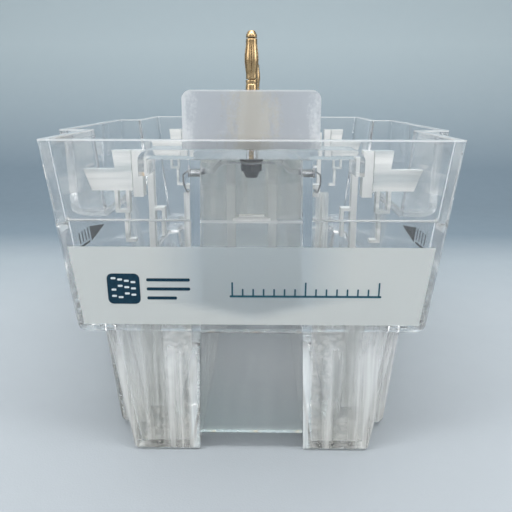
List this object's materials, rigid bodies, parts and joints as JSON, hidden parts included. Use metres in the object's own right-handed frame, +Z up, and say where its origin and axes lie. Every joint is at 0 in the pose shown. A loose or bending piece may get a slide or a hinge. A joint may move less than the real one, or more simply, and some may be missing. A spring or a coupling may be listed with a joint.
{
  "type": "gel electrophoresis tank",
  "caption": "Clear open-topped buffer tank for vertical gel electrophoresis, with legs, cassette guides, electrode wires and upright contact plugs.",
  "frame": {"origin": "on the standing surface, under the middle of the tank", "axes": "+X across the tank, +Y along it away from the labelled end, +Z up"},
  "size_m": [0.1704, 0.2184, 0.1603],
  "materials": {
    "clear_polycarbonate": "clear moulded polycarbonate",
    "frosted_polycarbonate": "matt, milky polycarbonate",
    "label_film": "white translucent film",
    "gold_plate": "gold-plated brass",
    "dark_nut": "dark coated steel",
    "bare_metal": "bare bright metal",
    "black_rubber": "soft black rubber",
    "wire_insulation": "white wire sleeve"
  },
  "bodies": {
    "tank": {"tank_body": "clear_polycarbonate", "front_tie_panel": "clear_polycarbonate", "front_bridge": "clear_polycarbonate", "front_rib_panel": "clear_polycarbonate", "front_plug_guard": "frosted_polycarbonate", "front_plug_pin": "gold_plate", "front_plug_washer": "black_rubber", "front_ring_terminal": "bare_metal", "front_lock_nut": "dark_nut", "front_left_guide_arm": "frosted_polycarbonate", "front_left_post": "frosted_polycarbonate", "front_left_inner_post": "frosted_polycarbonate", "front_left_wire_clip": "frosted_polycarbonate", "front_left_cassette_rail": "clear_polycarbonate", "front_left_feedthrough": "bare_metal", "front_left_lead": "wire_insulation", "front_right_guide_arm": "frosted_polycarbonate", "front_right_post": "frosted_polycarbonate", "front_right_inner_post": "frosted_polycarbonate", "front_right_wire_clip": "frosted_polycarbonate", "front_right_cassette_rail": "clear_polycarbonate", "front_right_feedthrough": "bare_metal", "front_right_lead": "wire_insulation", "rear_tie_panel": "clear_polycarbonate", "rear_bridge": "clear_polycarbonate", "rear_rib_panel": "clear_polycarbonate", "rear_plug_guard": "frosted_polycarbonate", "rear_plug_pin": "gold_plate", "rear_plug_washer": "black_rubber", "rear_ring_terminal": "bare_metal", "rear_lock_nut": "dark_nut", "rear_left_guide_arm": "frosted_polycarbonate", "rear_left_post": "frosted_polycarbonate", "rear_left_inner_post": "frosted_polycarbonate", "rear_left_wire_clip": "frosted_polycarbonate", "rear_left_cassette_rail": "clear_polycarbonate", "rear_left_feedthrough": "bare_metal", "rear_left_lead": "wire_insulation", "rear_right_guide_arm": "frosted_polycarbonate", "rear_right_post": "frosted_polycarbonate", "rear_right_inner_post": "frosted_polycarbonate", "rear_right_wire_clip": "frosted_polycarbonate", "rear_right_cassette_rail": "clear_polycarbonate", "rear_right_feedthrough": "bare_metal", "rear_right_lead": "wire_insulation", "left_cathode_wire": "bare_metal", "left_anode_wire": "bare_metal", "left_anode_post": "clear_polycarbonate", "right_cathode_wire": "bare_metal", "right_anode_wire": "bare_metal", "right_anode_post": "clear_polycarbonate", "front_label": "label_film"},
    "front_cage": {"front_plug_cage": "gold_plate"},
    "rear_cage": {"rear_plug_cage": "gold_plate"}
  },
  "joints": [
    {"name": "front_cage_spin", "type": "hinge", "parent": "tank", "child": "front_cage", "pos_m": [0, -0.1002, 0.1512], "axis": [0, 0, 1], "continuous": true},
    {"name": "rear_cage_spin", "type": "hinge", "parent": "tank", "child": "rear_cage", "pos_m": [0, 0.1002, 0.1512], "axis": [0, 0, 1], "continuous": true}
  ]
}
